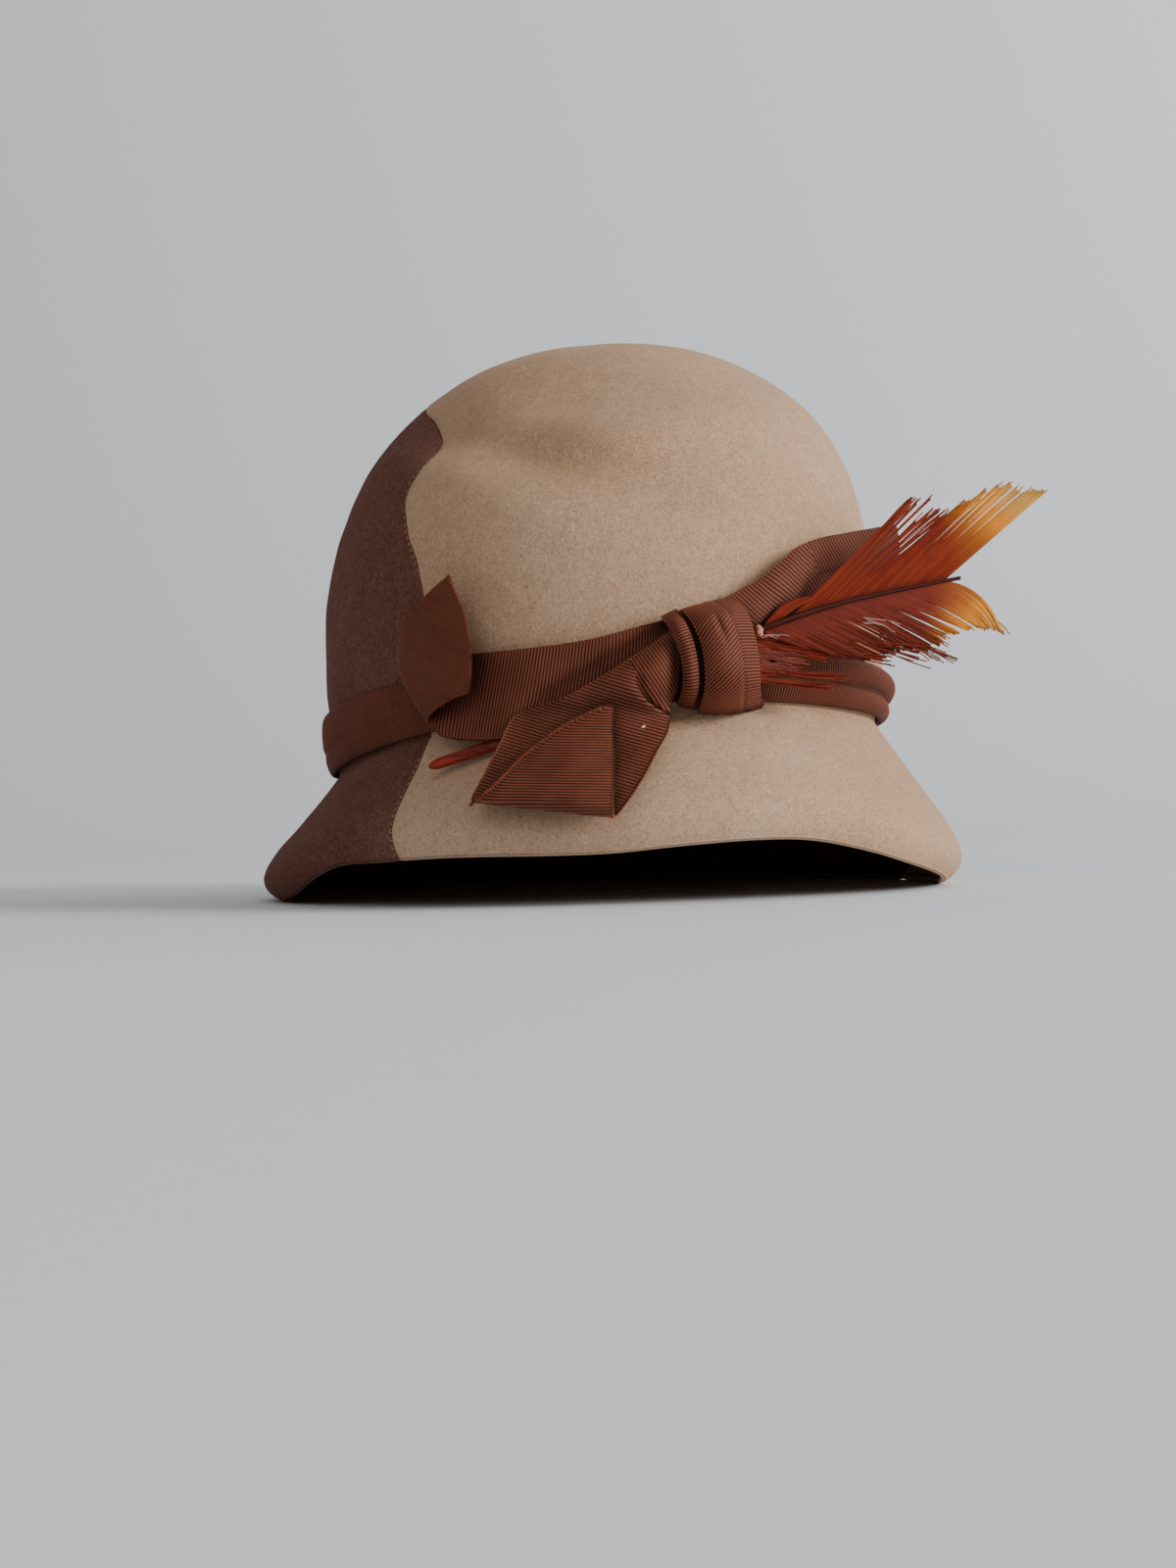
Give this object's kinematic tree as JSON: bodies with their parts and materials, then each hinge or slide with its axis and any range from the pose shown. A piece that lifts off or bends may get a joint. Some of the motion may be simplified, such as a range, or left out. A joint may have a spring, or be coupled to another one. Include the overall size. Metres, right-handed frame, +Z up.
{
  "type": "felt cloche hat",
  "caption": "Two-tone felt cloche hat with a bell brim, a folded grosgrain hat band, a knotted grosgrain bow and a quill feather, resting on its brim.",
  "frame": {"origin": "under the middle of the whole hat, on the surface that its brim rests on", "axes": "+Z up, -Y the wearer's front, +X the wearer's left; the bow and feather sit 35 degrees to the wearer's right of the front"},
  "size_m": [0.209, 0.2544, 0.1738],
  "materials": {
    "cream_felt": "matte wool felt, warm cream",
    "brown_felt": "matte wool felt, heathered mauve brown",
    "grosgrain": "ribbed grosgrain ribbon, rust brown, faint sheen",
    "vane": "dyed feather barbs, rust shading to amber at the tips",
    "quill": "glossy dyed quill, standing in for horn-like keratin"
  },
  "bodies": {
    "root": {"felt_front": "cream_felt", "felt_back": "brown_felt", "hat_band": "grosgrain", "bow_upper_tail": "grosgrain", "bow_lower_tail": "grosgrain", "bow_right_tail": "grosgrain", "knot_pleat": "grosgrain", "knot_wrap": "grosgrain", "feather_shaft": "quill", "feather_vane_upper": "vane", "feather_vane_lower": "vane"}
  },
  "joints": []
}
